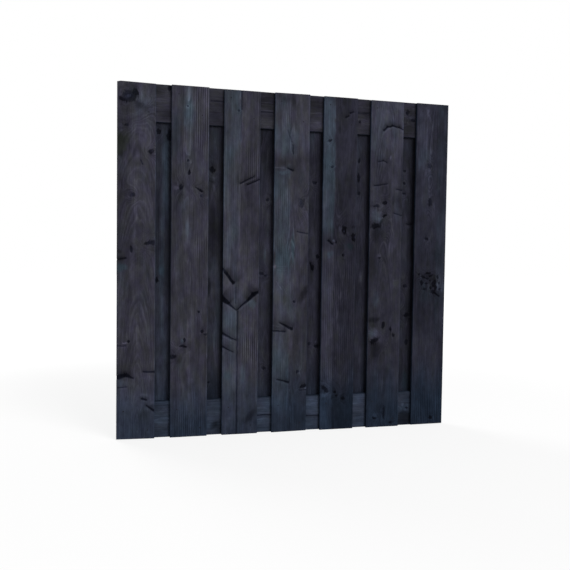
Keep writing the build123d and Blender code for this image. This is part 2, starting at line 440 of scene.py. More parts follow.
        (-70, 60, 30, 70, 0.35, 0.1), (60, 500, 60, 400, -0.15), (50, 1072, 8, 14, 0.55, 0, 0, 30),
        (80, 1104, 12, 9, -0.9), (-33, 1075, 8, 34, -0.6, 0.2), (40, 1000, 40, 26, 0.1, 0.35),
        (-60, 1280, 30, 80, 0.2), (-64, 960, 30, 50, 0.2), (60, 300, 40, 160, -0.15),
        (0, 50, 120, 110, -0.05, 0.2), (66, 840, 30, 120, -0.22)],
    "bands": [
        (-108, -28, 1060, 1830, 1.25, 0.58), (-108, -30, -60, 1020, 1.05, 0.05),
        (-30, 100, 250, 1000, 0.38), (-28, 100, 1040, 1830, 0.32), (-28, 32, 1040, 1360, 0.2)],
    "grooves": [
        (-90, 90, 260, 900, 0.4)],
}, {
    "tone": -0.5, "cool": 0, "heart": (-6, 44), "wander": (9, 8), "taper": 0.06, "rings": 0.65,
    "foot": (225, 0.85), "blueTintAndShade": 0.05, "plum": 0.08,
    "knots": [
        (-6, 1243, 14, 8, -2.1, 15), (-54, 1222, 22, 6, -0.9, 5), (-9, 1170, 13, 7, -2.5, 12),
        (-32, 939, 7, 6, -1.5), (-5, 568, 8, 17, -1.9, -12), (40, 546, 6, 13, -2, 12),
        (56, 512, 7, 9, -1.8, 15), (-46, 52, 14, 8, -1), (8, 78, 6, 34, -0.9), (52, 22, 12, 7, -1),
        (-58, 1114, 25, 15, -1.8, 8), (-56, 482, 25, 14, -1.8, 20)],
    "cuts": [
        (-20, 1636, 0, 1655, 4, 4, -1.7), (0, 1655, 30, 1664, 4, 3.5, -1.7),
        (30, 1664, 70, 1657, 3.5, 3, -1.6), (70, 1657, 92, 1645, 3, 2, -1.3),
        (-48, 1466, -20, 1471, 1.5, 2.2, -1), (-20, 1471, 0, 1462, 2.2, 1.5, -1),
        (-70, 1333, 6, 1347, 2, 1.6, -1.2), (60, 1318, 92, 1314, 2, 2, -0.8),
        (46, 1186, 92, 1175, 1.5, 1.5, -0.8), (50, 818, 85, 816, 1.5, 1.5, 0.4),
        (-31, 296, -31, 189, 1, 1, 0.7), (-14, 296, -14, 195, 1, 1, 0.7), (-2, 290, -2, 190, 1, 1, 0.7)],
    "shades": [
        (22, 1488, 6, 16, 1.35, 0.1), (12, 1605, 24, 30, 0, -0.6), (50, 1420, 35, 110, 0.3, -0.1),
        (68, 1172, 28, 44, 0.25, 0.25), (24, 985, 5, 45, 0.95), (-36, 951, 12, 10, 0.7),
        (68, 795, 24, 30, 0.5, -0.4, 0.3), (-54, 711, 26, 60, 0.45, 0.45), (-42, 68, 16, 14, 0.6),
        (0, 80, 120, 100, 0, 0.2), (-64, 1172, 36, 40, 1.1, 0.3, 0, 8),
        (-36, 1152, 12, 14, 0.3, 0.2, 0, 30), (-70, 1206, 7, 16, -0.4), (-46, 1212, 6, 15, -0.5),
        (-54, 1070, 28, 48, -1.1, 0.2), (-29, 1138, 9, 17, -1.1, 0.2, 0, -20), (42, 1255, 6, 26, -0.6),
        (-60, 522, 36, 28, 1.05, 0.4, 0, 12), (-7, 525, 15, 22, 0.4, 0, 0.3), (-74, 494, 9, 10, 0.5, -0.3),
        (-50, 440, 28, 44, -0.8, 0.2), (-58, 600, 34, 16, -1.4, 0.3, 0, 10),
        (-62, 570, 22, 16, -0.3, -0.2, 0.3), (-60, 330, 36, 50, 0.2), (60, 60, 60, 60, -0.15),
        (66, 1680, 30, 70, -0.22), (66, 1240, 28, 40, -0.2), (-62, 1740, 30, 40, 0.1)],
    "bands": [
        (-105, -2, 1500, 1830, 0.78, 0.35), (-2, 105, 1520, 1830, 0.85, 0.15), (30, 110, 120, 1830, 0.2),
        (-105, -10, 1200, 1520, 0.3), (-105, -30, 620, 1000, -0.2), (30, 110, 400, 540, -0.15)],
}, {
    "tone": -0.75, "cool": 0, "heart": (-10, 14), "wander": (8, 5), "taper": 0.012, "ends": (3, 4, 0, 0),
    "rings": 0.65, "foot": (240, 1.05), "blueTintAndShade": 0.13, "plum": 0.25,
    "knots": [
        (-15, 1455, 12, 13, -0.5), (-5, 1255, 11, 22, -0.9, 15), (-22, 1050, 9, 8, -1.3),
        (10, 843, 9, 6, -1.4), (-12, 828, 8, 5, -1.2), (5, 815, 6, 5, -0.8), (23, 39, 11, 9, -1.4),
        (-6, 858, 17, 6, -2, 8), (-37, 836, 12, 7, -1.8, -15), (-46, 802, 8, 12, -1.7),
        (28, 800, 11, 20, -2.1, -25), (38, 776, 8, 12, -2, -10), (22, 752, 10, 9, -1.3),
        (-62, 850, 7, 5, -1.2), (50, 836, 6, 9, -1.4), (-16, 800, 8, 5, -1.2), (60, 800, 5, 8, -1.2),
        (10, 776, 7, 10, -1.5, 20), (-30, 768, 9, 6, -1), (66, 768, 8, 6, -1.1)],
    "cuts": [
        (34, 746, 60, 727, 4, 3, -1.2)],
    "shades": [
        (-12, 1420, 7, 160, 0.45), (-45, 1580, 55, 210, 0.68, 0.25), (52, 775, 10, 22, 0.6),
        (-20, 1180, 24, 60, 0.25), (-30, 500, 60, 90, 0, -0.2, 0.15), (-15, 770, 62, 110, -0.1, 0.45, 0.1),
        (-20, 1727, 4, 38, 0.9, 0, 0, 29), (1, 1681, 4, 46, 0.8, 0, 0, -6),
        (-32, 1763, 3, 38, 0.7, 0, 0, 47), (11, 1758, 3, 38, 0.6, 0, 0, -15),
        (-6, 1560, 5, 90, 0.5, 0, 0, -2), (-32, 1570, 3, 95, 0.4), (-17, 1375, 4, 52, 0.4, 0, 0, 20),
        (-50, 740, 62, 130, -0.38), (-5, 1500, 40, 120, -0.3), (0, 1110, 62, 90, 0.3),
        (0, 830, 50, 36, -0.4), (-60, 960, 40, 60, -0.2), (-60, 1750, 40, 40, 0.3),
        (66, 1430, 30, 60, -0.2), (-60, 620, 40, 80, -0.2), (0, 1750, 30, 40, -0.2),
        (0, 415, 120, 155, 0.37), (67, 810, 30, 80, 0.6, 0.1)],
    "bands": [
        (36, 100, 540, 1830, 0.05, 0.32), (36, 100, 200, 540, -0.15, 0.1)],
    "grooves": [
        (-85, 85, 0, 190, 0.7)],
}]
backMarks = [{
    "tone": -0.45, "cool": 0.1, "heart": (20, 40), "wander": (8, 10), "blueTintAndShade": 0.24,
    "knots": [
        (-24, 1566, 13, 13, -1.6), (31, 1549, 12, 28, -1.3), (-31, 810, 8, 14, -2)],
    "shades": [
        (-8, 860, 20, 22, 0.3, 0.6), (-20, 420, 20, 60, 0, -0.6), (-24, 1040, 14, 160, -0.4, -0.3),
        (14, 900, 12, 320, -0.25), (-24, 1120, 12, 60, -0.3), (16, 175, 16, 50, 0.25),
        (16, 600, 14, 60, -0.2)],
    "bands": [
        (-6, 30, 1180, 1540, 0.5, 0.45), (-16, 8, 480, 1150, 0.28, 0.35), (-30, 22, 60, 480, 0.36, 0.1)],
}, {
    "tone": -0.8, "cool": 0.13, "heart": (-20, 44), "wander": (8, 14), "blueTintAndShade": 0.07,
    "knots": [
        (-17, 1384, 12, 15, -2, 20), (-27, 274, 6, 6, -1.2)],
    "shades": [
        (-8, 1308, 8, 44, 0.9), (0, 1080, 30, 120, -0.3, -0.2, 0.25), (-30, 771, 11, 50, -1.7, 0, 0.1),
        (3, 520, 10, 92, 0.55, 0.1), (-6, 1490, 30, 100, 0.25, 0.2), (0, 1110, 40, 110, -0.3),
        (16, 1540, 14, 80, -0.3), (-10, 1325, 14, 10, -0.8), (18, 700, 14, 150, 0.32, 0.2),
        (-18, 1420, 14, 50, 0.25)],
    "bands": [
        (-36, 34, 300, 910, 0.42, 0.08)],
}, {
    "tone": -0.5, "cool": 0.03, "heart": (10, 60), "wander": (7, 10), "blueTintAndShade": 0.07, "plum": 0.12,
    "knots": [
        (-20, 848, 14, 8, -0.8), (8, 838, 12, 6, -0.6), (-1, 340, 10, 8, -0.9), (12, 1240, 8, 8, -0.8)],
    "shades": [
        (-1, 950, 7, 50, 0.5, 0.4), (14, 1080, 9, 90, 0.3, 0.3), (0, 450, 60, 200, 0.15),
        (18, 1430, 14, 70, -0.35)],
    "bands": [
        (-60, 60, 1360, 1660, -0.65), (2, 60, 240, 720, -0.35)],
}, {
    "tone": -0.6, "cool": 0.03, "heart": (-14, 36), "wander": (8, 12), "blueTintAndShade": 0.07, "plum": 0.18,
    "knots": [
        (0, 1341, 12, 9, -1.2), (23, 944, 9, 9, -1.8), (22, 454, 12, 8, -1.5), (-18, 468, 6, 8, -1.2)],
    "cuts": [
        (-18, 908, -10, 875, 3, 4, -1.6), (0, 890, -4, 868, 3, 4, -1.4)],
    "shades": [
        (20, 478, 8, 8, 0.7), (0, 450, 60, 200, 0.12), (16, 800, 16, 260, 0.4), (14, 1350, 18, 150, -0.3),
        (-16, 1560, 16, 60, 0.3, 0.2), (-16, 800, 16, 80, -0.35), (12, 330, 16, 70, -0.3)],
    "bands": [
        (6, 95, -30, 1830, -0.25, -0.1)],
}, {
    "tone": -0.8, "cool": 0.13, "heart": (4, 42), "wander": (9, 12), "blueTintAndShade": 0.07, "plum": 0.18,
    "knots": [
        (-16, 1469, 7, 14, -1.3), (-16, 1376, 8, 22, -1.5), (-14, 1290, 7, 10, -0.9)],
    "shades": [
        (-8, 1235, 7, 40, 0.25), (8, 820, 6, 28, 0.7), (7, 380, 6, 55, 0.7, -0.3, 0.1),
        (0, 500, 60, 200, 0.12), (-18, 760, 18, 160, -0.25), (-18, 1540, 14, 50, 0.3, 0.1),
        (16, 620, 14, 60, 0.25)],
}, {
    "tone": -0.95, "cool": 0.13, "heart": (-8, 30), "wander": (10, 12), "blueTintAndShade": 0.07, "plum": 0.12,
    "knots": [
        (-14, 1424, 8, 7, -1.3), (-14, 1357, 8, 7, -1.3), (-16, 1300, 8, 7, -1.1), (15, 620, 18, 10, -1.5),
        (16, 468, 9, 14, -1.1), (0, 782, 14, 9, -1.1)],
    "cuts": [
        (2, 1131, 34, 1129, 2, 2, -1.1)],
    "shades": [
        (17, 1113, 12, 9, 0.9), (16, 568, 9, 9, 0.8), (10, 250, 20, 60, 0.2, 0.5), (16, 760, 14, 70, 0.35),
        (-16, 460, 16, 80, -0.2), (16, 1400, 14, 60, -0.35), (18, 300, 14, 50, -0.25)],
    "bands": [
        (-60, 6, 700, 1480, 0.25), (8, 60, 60, 520, -0.35), (6, 60, 520, 1640, -0.35)],
}]
railMarks = {"top_rail": {
    "tone": -0.42, "cool": -0.05, "heart": (10, 48), "wander": (8, 14),
    "knots": [
        (77, 258, 14, 12, -1.5), (-26, 1281, 8, 6, -1.1), (40, 1560, 12, 10, -1.2), (0, 1590, 10, 12, -1)],
    "cuts": [
        (0, 728, 0, 796, 2, 2, 1), (-8, 728, -8, 796, 2, 2, -0.6), (2, 1000, 6, 1062, 3, 3, 1),
        (30, 470, 28, 540, 2, 2, -0.6), (-20, 470, -22, 540, 2, 2, 0.4), (20, 1265, 22, 1345, 2, 2, -0.6)],
    "shades": [
        (27, 248, 24, 14, 0.3, -1.2), (0, 220, 90, 50, 0.42), (45, 765, 30, 50, -0.5, 0, 0.25),
        (50, 1030, 30, 45, -0.6), (-35, 1035, 35, 40, 0.4, -0.6, 0.3), (-20, 1305, 60, 50, 0.25),
        # (-96, 900, 5, 3000, -0.6) is painted shade along the rail's lower edge, over the back boards
        (0, 765, 90, 45, -0.18), (-96, 900, 5, 3000, -0.6), (-60, 765, 26, 42, 0.45),
        (-60, 1570, 40, 60, -0.4), (0, 1325, 90, 24, -0.62), (-61, 238, 29, 35, -0.6),
        (-50, 502, 34, 38, -0.5), (-56, 1035, 28, 42, 0.6), (-10, 1575, 90, 55, -0.34, 0.15, 0.3),
        (0, 755, 90, 20, 0.25), (0, 795, 90, 16, -0.3)],
}, "bottom_rail": {
    "tone": -0.05, "cool": 0.3, "heart": (-10, 52), "wander": (8, 14), "blueTintAndShade": 0.5,
    "knots": [
        (0, 1590, 8, 8, -0.8)],
    "cuts": [
        (-2, 732, -2, 802, 3, 3, -0.9), (-17, 1000, -17, 1072, 2.5, 2.5, -1),
        (40, 190, 40, 262, 2, 2, 0.4)],
    "shades": [
        (-45, 500, 22, 14, -1, 0, 0, 40), (40, 1035, 50, 45, 0.35, -0.1), (40, 1305, 70, 45, 0.3),
        (24, 1567, 9, 8, 0.85), (0, 1590, 100, 60, -0.45), (20, 764, 90, 50, 0.35),
        # (96, 900, 5, 3000, -1.3) is painted shade along the rail's top edge, between it and the back
        # boards
        (96, 900, 5, 3000, -1.3), (60, 764, 30, 40, 0.15), (-57, 1583, 43, 60, -1.8),
        (-52, 522, 36, 22, -0.9)],
}}


# What holds where a board's marks say nothing else; knotR counts radii of the nearest knot
plainBoard = {
    "taper": 0.03, "ringGap": 5.0, "rings": 0.45, "foot": (225, 0.7), "ends": (0, 0, 0, 0), "chip": (1, 0),
    "cuts": [], "shades": [], "bands": [], "grooves": [], "moss": 0, "blueTintAndShade": 0, "plum": 0, "groove": 0.10,
    "knotR": 4.0, "knotTone": 0, "cut": 60.0, "cutHalf": 0, "cutTone": 0,
}
layers = ["tone", "cool", "moss", "blueTintAndShade", "plum", "groove", "knotR", "knotTone", "cut", "cutHalf",
          "cutTone"]
# How the trunk lies in a board; waves are size, width and length in millimetres
figure = {
    "swayAcross": 330, "swayDeep": 380, "tremble": 1.6, "trembleLong": 60, "middle": 900,
    "ripple": (2.6, 30, 120), "tremor": (0.9, 9, 45),
    "clear": 0.6, "clearWave": (1.1, 50, 210), "clearMost": 1.4,  # how clearly the years show
}
# How marks are pulled out of shape, and how soft bands and grooves are across and along
bend = {"across": ((3.2, 15, 22), (1.5, 5, 8)), "along": ((4.0, 17, 19), (1.5, 6, 7)), "band": 5,
        "bandLong": 160}
soft = {"band": (7, 70), "groove": (8, 40)}
# Knots: half width from which one is bent in full; the rest in half widths, half heights and tones
knotForm = {
    "bentFull": 14, "bentMost": 1.6, "push": 2.4, "pushWide": 2.1, "pushHigh": 3.4,
    "smear": 0.28, "smearWide": 1.1, "smearDrop": 1.1, "smearHigh": 2.6, "darkest": -1.6,
    "lip": 0.45, "lipAside": 1.2, "lipBelow": 1.1, "slant": 0.45, "slantEnd": 1.2,
}
# Splits: shares of their half width or tone, and millimetres; a dark split gets a painted shade above it
# and a painted highlight, its lip, below it
cutForm = {
    "bent": 0.35, "thinFrom": 3, "thinning": 2, "end": 8, "paintedShade": 0.5, "above": 4.5, "aboveMore": 4,
    "below": 1.2, "belowMore": 2, "lip": 0.2, "lipWide": 5,
}
shadeForm = {"acrossFull": 14, "acrossMost": 1.5, "alongFull": 10, "alongMost": 2, "broad": 60}
crowd = {"samples": 4001, "extra": 2.2, "reach": 26}  # rows of points beside marks


def rowPlaces(length, spots, rows):  # rows along the board, closer together beside its marks
    fine = np.linspace(0, length, crowd["samples"])
    weight = np.ones_like(fine)
    for spot in spots:
        weight += crowd["extra"] * bell((fine - spot) / crowd["reach"])
    share = np.concatenate([[0], np.cumsum((weight[1:] + weight[:-1]) / 2)])
    return np.interp(np.linspace(0, share[-1], rows), share, fine)


def sectionLoop(half, thick, radii, grid):
    # rounded rectangle: each corner's centre plus its radius times the direction in which the skin looks
    quarter = np.pi / 2
    arcTurns = np.linspace(0, quarter, grid["arc"] + 2)[1:-1]
    corners = [(1, 0, -1), (1, 1, 0), (-1, 1, 1), (-1, 0, 2)]  # side across, side in depth, quarter turns
    rounds = [radii[:, k, None] for k in range(4)]
    centreS = [sign * (half - r) for (sign, deep, turn), r in zip(corners, rounds)]
    centreD = [thick - r if deep else r for (sign, deep, turn), r in zip(corners, rounds)]
    s, d, look = [], [], []
    for k, (sign, deep, turn) in enumerate(corners):
        before = k - 1
        count = grid["face"] if k % 2 == 0 else grid["side"]
        f = np.linspace(0, 1, count)
        angle = turn * quarter  # the straight run that leads to this corner
        reach = mix(rounds[before], rounds[k], f)
        s.append(mix(centreS[before], centreS[k], f) + np.cos(angle) * reach)
        d.append(mix(centreD[before], centreD[k], f) + np.sin(angle) * reach)
        look.append(np.full(count, angle))
        s.append(centreS[k] + rounds[k] * np.cos(angle + arcTurns))
        d.append(centreD[k] + rounds[k] * np.sin(angle + arcTurns))
        look.append(angle + arcTurns)
    return np.concatenate(s, 1), np.concatenate(d, 1), np.concatenate(look)


def farStart(grid):  # where the loop comes to the face away from its first point
    return grid["face"] + 2 * grid["arc"] + grid["side"]


def loopFaces(rows, around):  # quads between neighbouring rows of a closed loop
    start = np.arange(rows * around).reshape(rows, around)
    after = np.roll(start, -1, 1)
    return np.stack([start[:-1], after[:-1], after[1:], start[1:]], -1).reshape(-1, 4)


def capFaces(ring, inner, grid):  # a grid across one end, from face to face, and a patch at each side
    n, turnBack = grid["face"], farStart(grid)
    far = ring[turnBack:turnBack + n][::-1]
    net = np.column_stack([ring[:n], inner, far])
    quads = np.stack([net[:-1, :-1], net[1:, :-1], net[1:, 1:], net[:-1, 1:]], -1).reshape(-1, 4).tolist()
    rightPatch = ring[n - 1:turnBack + 1].tolist() + inner[-1][::-1].tolist()
    leftPatch = ring[turnBack + n - 1:].tolist() + [int(ring[0])] + inner[0].tolist()
    return quads + [rightPatch, leftPatch]


def filled(mark, count):  # what a mark leaves out at its end is 0
    return tuple(mark) + (0,) * (count - len(mark))


def turned(across, up, degrees):  # both distances along the axes of a turned mark
    c, sn = np.cos(np.radians(degrees)), np.sin(np.radians(degrees))
    return across * c + up * sn, up * c - across * sn


def waves(s, t, seed, *sizes):  # smooth noises added up, each with its size, width and length
    return sum(size * cloud(s / wide, t / long, seed + k) for k, (size, wide, long) in enumerate(sizes))


def within(s, t, box, softS, softT):  # 1 inside a stretch of the board, soft at its borders
    left, right, bottom, top = box
    return (ease(-softS, softS, s - left) * ease(-softS, softS, right - s)
            * ease(-softT, softT, t - bottom) * ease(-softT, softT, top - t))


def layKnots(fields, knots, s, t, bent, seed):  # ovals that push the years aside
    form = knotForm
    for count, knot in enumerate(knots):
        across, up, halfWide, halfHigh, shade, turn = filled(knot, 6)
        share = min(form["bentMost"], halfWide / form["bentFull"])
        ds, dt = s - across + bent[0] * share, t - up + bent[1] * share
        du, dv = turned(ds, dt, turn)
        ds, dt, du, dv = ds / halfWide, dt / halfHigh, du / halfWide, dv / halfHigh
        r = np.hypot(du, dv)
        lit = 1 if (seed + count) % 2 else -1  # the side that is paler, left or right by turns
        push = bell(ds / form["pushWide"]) * bell(dt / form["pushHigh"])
        smear = bell(ds / form["smearWide"]) * bell((dt + lit * form["smearDrop"]) / form["smearHigh"])
        lip = bell(du - lit * form["lipAside"]) * bell(dv + form["lipBelow"])
        slant = lit * np.clip(du, -form["slantEnd"], form["slantEnd"])
        fields["ring"] += form["push"] * halfWide * share * push
        fields["tone"] += form["smear"] * max(shade, form["darkest"]) * smear + form["lip"] * lip
        tone = shade + form["slant"] * slant
        fields["knotTone"] = np.where(r < fields["knotR"], tone, fields["knotTone"])
        fields["knotR"] = np.minimum(fields["knotR"], r)


def layCuts(fields, cuts, s, t, bent):  # straight splits that widen or narrow from end to end
    form = cutForm
    for s0, t0, s1, t1, half0, half1, shade in cuts:
        length = np.hypot(s1 - s0, t1 - t0)
        along = ((s - s0) * (s1 - s0) + (t - t0) * (t1 - t0)) / length
        under = -1 if s1 < s0 else 1  # so that aside grows downwards, whichever way the cut is drawn
        aside = under * ((s - s0) * (t1 - t0) - (t - t0) * (s1 - s0)) / length + form["bent"] * bent[1]
        past = np.maximum(np.maximum(-along, along - length), 0)
        gap = np.hypot(aside, past)
        nearer = gap < np.abs(fields["cut"])
        wide = mix(half0, half1, np.clip(along / length, 0, 1))
        thinned = wide - form["thinning"] * np.maximum(gap - wide - form["thinFrom"], 0)
        found = {"cut": np.where(past > 0, gap, aside), "cutHalf": thinned, "cutTone": shade}
        for name, value in found.items():
            fields[name] = np.where(nearer, value, fields[name])
        if shade < 0:
            above = form["above"] * wide + form["aboveMore"]
            below = form["below"] * wide + form["belowMore"]
            # painted light: a painted shade above the split, as if its upper edge shaded it, and a painted
            # highlight on its lower edge
            paintedShade = bell(aside / np.where(aside < 0, above, below))  # soft above, sharp below
            lip = bell((aside - wide - form["lipWide"]) / form["lipWide"])  # catches the light
            ends = bell(past / form["end"])
            fields["tone"] += shade * (form["paintedShade"] * paintedShade - form["lip"] * lip) * ends


def layShades(fields, shades, s, t, bent):  # soft ovals: small ones are patches, broad ones fade
    form = shadeForm
    for shade in shades:
        across, up, halfWide, halfHigh, lift, chill, green, turn = filled(shade, 8)
        ds = s - across + min(form["acrossMost"], halfWide / form["acrossFull"]) * bent[0]
        dt = t - up + min(form["alongMost"], halfHigh / form["alongFull"]) * bent[1]
        du, dv = turned(ds, dt, turn)
        far = (du / halfWide) ** 2 + (dv / halfHigh) ** 2
        spread = bell(far) if halfWide < form["broad"] else np.exp(-far)
        for name, amount in (("tone", lift), ("cool", chill), ("moss", green)):
            fields[name] += amount * spread


def layBands(fields, bands, s, t):  # long stretches of another tone
    for band in bands:
        *box, lift, chill = filled(band, 6)
        inside = within(s, t, box, *soft["band"])
        fields["tone"] += lift * inside
        fields["cool"] += chill * inside


def grainFields(marks, s, t, d, seed):
    # the years are circles round the heart, which wanders along the board; each knot lifts them aside
    (heartS, heartD), (wanderS, wanderD) = marks["heart"], marks["wander"]

    def stray(long, row, draw):  # smooth noise along the board alone
        return cloud(t / long, t * 0 + row, draw)

    heartS = heartS + wanderS * stray(figure["swayAcross"], 0.5, seed)
    heartD = (heartD + wanderD * stray(figure["swayDeep"], 7.5, seed + 1)
              + marks["taper"] * (t - figure["middle"])
              + figure["tremble"] * stray(figure["trembleLong"], 4.5, seed + 15))
    ring = np.hypot(s - heartS, d + heartD) + waves(s, t, seed + 2, figure["ripple"])
    clear = figure["clear"] + waves(s, t, seed + 14, figure["clearWave"])
    fields = {"ring": ring + waves(s, t, seed + 16, figure["tremor"]),
              "years": marks["rings"] * np.clip(clear, 0, figure["clearMost"])}
    for name in layers:
        fields[name] = np.full_like(s, marks[name])
    bent = waves(s, t, seed + 10, *bend["across"]), waves(s, t, seed + 12, *bend["along"])
    layKnots(fields, marks["knots"], s, t, bent, seed)
    layCuts(fields, marks["cuts"], s, t, bent)
    layShades(fields, marks["shades"], s, t, bent)
    layBands(fields, marks["bands"], s + bent[0] + bend["band"] * stray(bend["bandLong"], 3.5, seed + 4), t)
    for *box, strength in marks["grooves"]:
        fields["groove"] += strength * within(s, t, box, *soft["groove"])
    fields["ring"] /= marks["ringGap"]
    return fields


def finishMesh(mesh, crisp=38):  # normals outwards, edges sharper than so many degrees kept crisp
    shape = bmesh.new()
    shape.from_mesh(mesh)
    bmesh.ops.recalc_face_normals(shape, faces=shape.faces)
    shape.to_mesh(mesh)
    shape.free()
    mesh.set_sharp_from_angle(angle=np.radians(crisp))


def addPiece(mesh, node, name, materials):  # takes the CAD node's place on the panel
    piece = bpy.data.objects.new(name, mesh)
    bpy.context.scene.collection.objects.link(piece)
    for material in materials:
        mesh.materials.append(material)
    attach(piece, "root")
    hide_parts(node)


# The lowest stretch is darker and bluer, with a soft, wavy border; millimetres
foot = {"soften": 180, "tone": -0.48, "sway": 30, "swayWide": 40}
# Side walls get painted shade, a bluer colour like the shade in the gaps, and are rubbed pale in places
# along the arrises
sides = {"rim": 5, "shadeBlue": 0.75, "shadeBlueFrom": 1.6, "shadeBlueFull": 0.4, "rubbed": (0.1, 0.9), "along": 38,
         "across": 30}
# How far the skin lies under the CAD face, in millimetres: all over, round a knot, in a dark split
# long and short waves: size, width, length; knotRim: depth, place and width in radii; split: depth, sides
relief = {"skin": 0.16, "long": (0.12, 9, 210), "short": (0.10, 24, 60), "knotRim": (0.35, 1.05, 0.16),
          "split": (0.9, -1.0, 2.5)}


def buildBoard(node, kind, marks, seed):
    # the section's loop carried along the grain, then sunk by the relief against the way its skin looks
    marks = {**plainBoard, **marks}
    low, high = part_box(node)
    lying = high.x - low.x > high.z - low.z  # a rail's grain runs along X, a board's along Z
    start = np.array([low.x, low.y, low.z]) / mm
    span = np.array([high.x - low.x, high.y - low.y, high.z - low.z]) / mm
    wide, length = (span[2], span[0]) if lying else (span[0], span[2])
    grid = boardGrids[kind]
    half, thick, rows = wide / 2, span[1], grid["rows"]

    places = rowPlaces(length, [mark[1] for mark in marks["knots"] + marks["cuts"]], rows)
    worn = [cloud(places / arris["waveLong"], places * 0 + k + 0.5, seed + 5) for k in range(4)]
    worn = np.stack(worn, 1)
    radii = arris["radius"] * (1 + arris["uneven"] * worn + arris["worn"] * ease(*arris["wornFrom"], worn))
    s, d, look = sectionLoop(half, thick, radii, grid)
    around = s.shape[1]

    bottomLeft, bottomRight, topLeft, topRight = marks["ends"]
    chipWide, chipHigh = marks["chip"]

    def lengthwise(s, f):  # saw cuts a little out of square, and a chip off one corner
        across = (s + half) / wide
        chipped = chipHigh * np.clip(1 - (s + half) / chipWide, 0, 1)
        top = length - mix(topLeft, topRight, across) - chipped
        return mix(mix(bottomLeft, bottomRight, across), top, f)

    t = lengthwise(s, (places / length)[:, None])
    fields = grainFields(marks, s, t, d, seed)
    rimDeep, rimAt, rimWide = relief["knotRim"]
    splitDeep, splitFull, splitEnd = relief["split"]
    inSplit = 1 - ease(splitFull, splitEnd, np.abs(fields["cut"]) - fields["cutHalf"])
    longSize, longWide, longLong = relief["long"]
    hollow = (relief["skin"] + longSize * cloud(s / longWide + 20, t / longLong, seed + 6)
              + waves(s, t, seed + 7, relief["short"])
              + rimDeep * bell((fields["knotR"] - rimAt) / rimWide)
              + splitDeep * (fields["cutTone"] < 0) * inSplit)
    s = s - hollow * np.cos(look)
    d = d - hollow * np.sin(look)

    f = np.linspace(0, 1, grid["cap"] + 2)[1:-1]
    n, ends = grid["face"], (0, rows - 1)
    far = slice(farStart(grid), farStart(grid) + n)
    faces = loopFaces(rows, around).tolist()
    bodyFaces = len(faces)
    for count, row in enumerate(ends):
        inner = rows * around + count * n * len(f) + np.arange(n * len(f)).reshape(n, len(f))
        faces += capFaces(row * around + np.arange(around), inner, grid)

    def capped(values):  # the body's points, then a net of points across each end
        nets = [mix(values[row, :n, None], values[row, far][::-1, None], f).ravel() for row in ends]
        return np.concatenate([values.ravel()] + nets)

    s, d, t = capped(s), capped(d), capped(t)
    fields = grainFields(marks, s, t, d, seed)
    if not lying:
        rise, share = marks["foot"]
        height = t + foot["sway"] * cloud(s / foot["swayWide"], t * 0, seed + 8)
        blueTintAndShade = 1 - ease(rise - foot["soften"], rise + foot["soften"], height)
        fields["tone"] += foot["tone"] * blueTintAndShade
        fields["blueTintAndShade"] += share * blueTintAndShade
    rubs = cloud(t / sides["along"], s / sides["across"] + 9, seed + 9)
    toSide = np.maximum(np.abs(s) - (half - sides["rim"]), 0) / sides["rim"]
    # painted shade: the side walls take the blue colour that shade has in the gaps
    fields["blueTintAndShade"] += sides["shadeBlue"] * ease(half - sides["shadeBlueFrom"], half - sides["shadeBlueFull"], np.abs(s))
    fields["edge"] = toSide * ease(*sides["rubbed"], rubs)

    first, second = (start[0] + t, start[2] + half + s) if lying else (start[0] + half + s, start[2] + t)
    points = np.stack([first, start[1] + d, second], 1) * mm
    mesh = bpy.data.meshes.new(node)
    mesh.from_pydata(points.tolist(), [], faces)
    mesh.polygons.foreach_set("material_index", (np.arange(len(faces)) >= bodyFaces).astype(np.int32))
    mesh.polygons.foreach_set("use_smooth", np.ones(len(faces), bool))
    for name, values in fields.items():
        mesh.attributes.new(name, "FLOAT", "POINT").data.foreach_set("value", values.astype(np.float32))
    away = np.random.default_rng(seed).uniform(0, 9, 3)  # every board shows another stretch of the noise
    inGrain = np.stack([s, d, t], 1) * mm + away
    grainLayer = mesh.attributes.new("grain", "FLOAT_VECTOR", "POINT")
    grainLayer.data.foreach_set("vector", inGrain.astype(np.float32).ravel())
    finishMesh(mesh)
    addPiece(mesh, node, node + "_sawn", [woodFace, woodEnd])


# Small knots on the back boards, where the front boards hide them from the front; millimetres
smallKnots = {"count": 7, "across": (52, 83), "up": (60, 1740), "wide": (5, 15), "flat": (0.7, 1.2),
              "turn": (-30, 30), "tone": (-1.4, -0.5)}


def scattered(marks, seed):  # a board's marks with its small knots drawn at random
    rng = np.random.default_rng(seed)
    count = smallKnots["count"]
    across = rng.uniform(*smallKnots["across"], count) * rng.choice([-1, 1], count)
    up = rng.uniform(*smallKnots["up"], count)
    wide = rng.uniform(*smallKnots["wide"], count)
    high = wide * rng.uniform(*smallKnots["flat"], count)
    turn = rng.uniform(*smallKnots["turn"], count)
    tone = rng.uniform(*smallKnots["tone"], count)
    more = np.stack([across, up, wide, high, tone, turn], 1)
    return dict(marks, knots=marks["knots"] + more.tolist())


for number, marks in enumerate(frontMarks, start=1):
    buildBoard(f"front_board_{number}", "front", marks, seeds["front"] + seeds["step"] * number)
print("front boards sawn")
for number, marks in enumerate(backMarks, start=1):
    knotted = scattered(marks, seeds["smallKnots"] + number)
    buildBoard(f"back_board_{number}", "back", knotted, seeds["back"] + seeds["step"] * number)
print("back boards sawn")
for number, (node, marks) in enumerate(railMarks.items()):
    buildBoard(node, "rail", marks, seeds["rail"] + seeds["step"] * number)
print("rails sawn")

